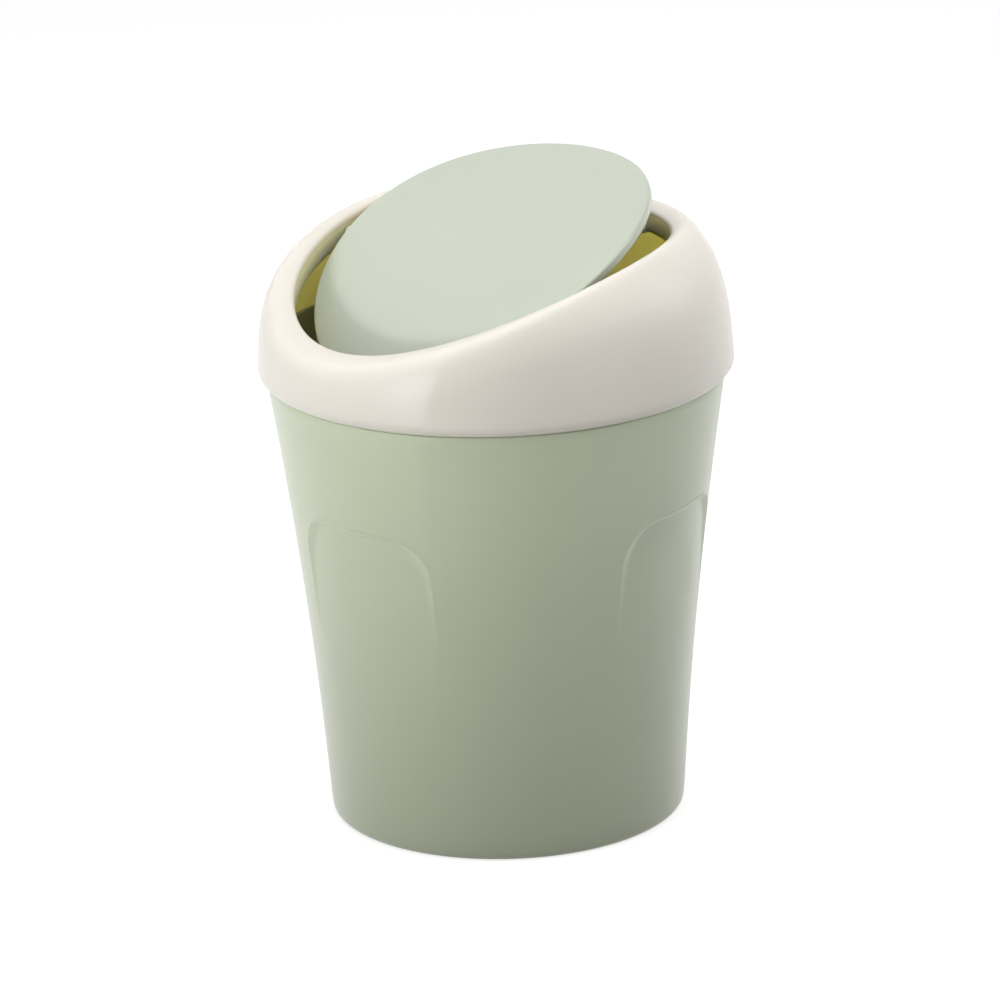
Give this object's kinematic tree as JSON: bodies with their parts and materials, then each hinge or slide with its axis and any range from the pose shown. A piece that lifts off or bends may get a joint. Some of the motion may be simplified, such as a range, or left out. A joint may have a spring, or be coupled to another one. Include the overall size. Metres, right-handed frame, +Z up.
{
  "type": "countertop trash can with swing lid",
  "caption": "Small round flared bin with a lift-off slanted collar and an arched flap that rocks on two side pegs.",
  "frame": {"origin": "centre of the base, on the surface that the bin stands on", "axes": "+Z up; the low side of the slanted mouth faces -Y; the flap's pivot runs along X"},
  "size_m": [0.1368, 0.1368, 0.1881],
  "materials": {
    "bucket_plastic": "satin gloss, sage green",
    "collar_plastic": "gloss, warm off-white",
    "flap_plastic": "satin gloss, pale sage green"
  },
  "bodies": {
    "bucket": {"bucket": "bucket_plastic"},
    "collar": {"collar": "collar_plastic"},
    "flap": {"flap": "flap_plastic"}
  },
  "joints": [
    {"name": "collar_lift", "type": "slide", "parent": "bucket", "child": "collar", "axis": [0, 0, 1], "range_m": [0, 0.05]},
    {"name": "flap_swing", "type": "hinge", "parent": "collar", "child": "flap", "pos_m": [0, -0.0108, 0.1634], "axis": [1, 0, 0], "range_deg": [-18.5, 55]}
  ]
}
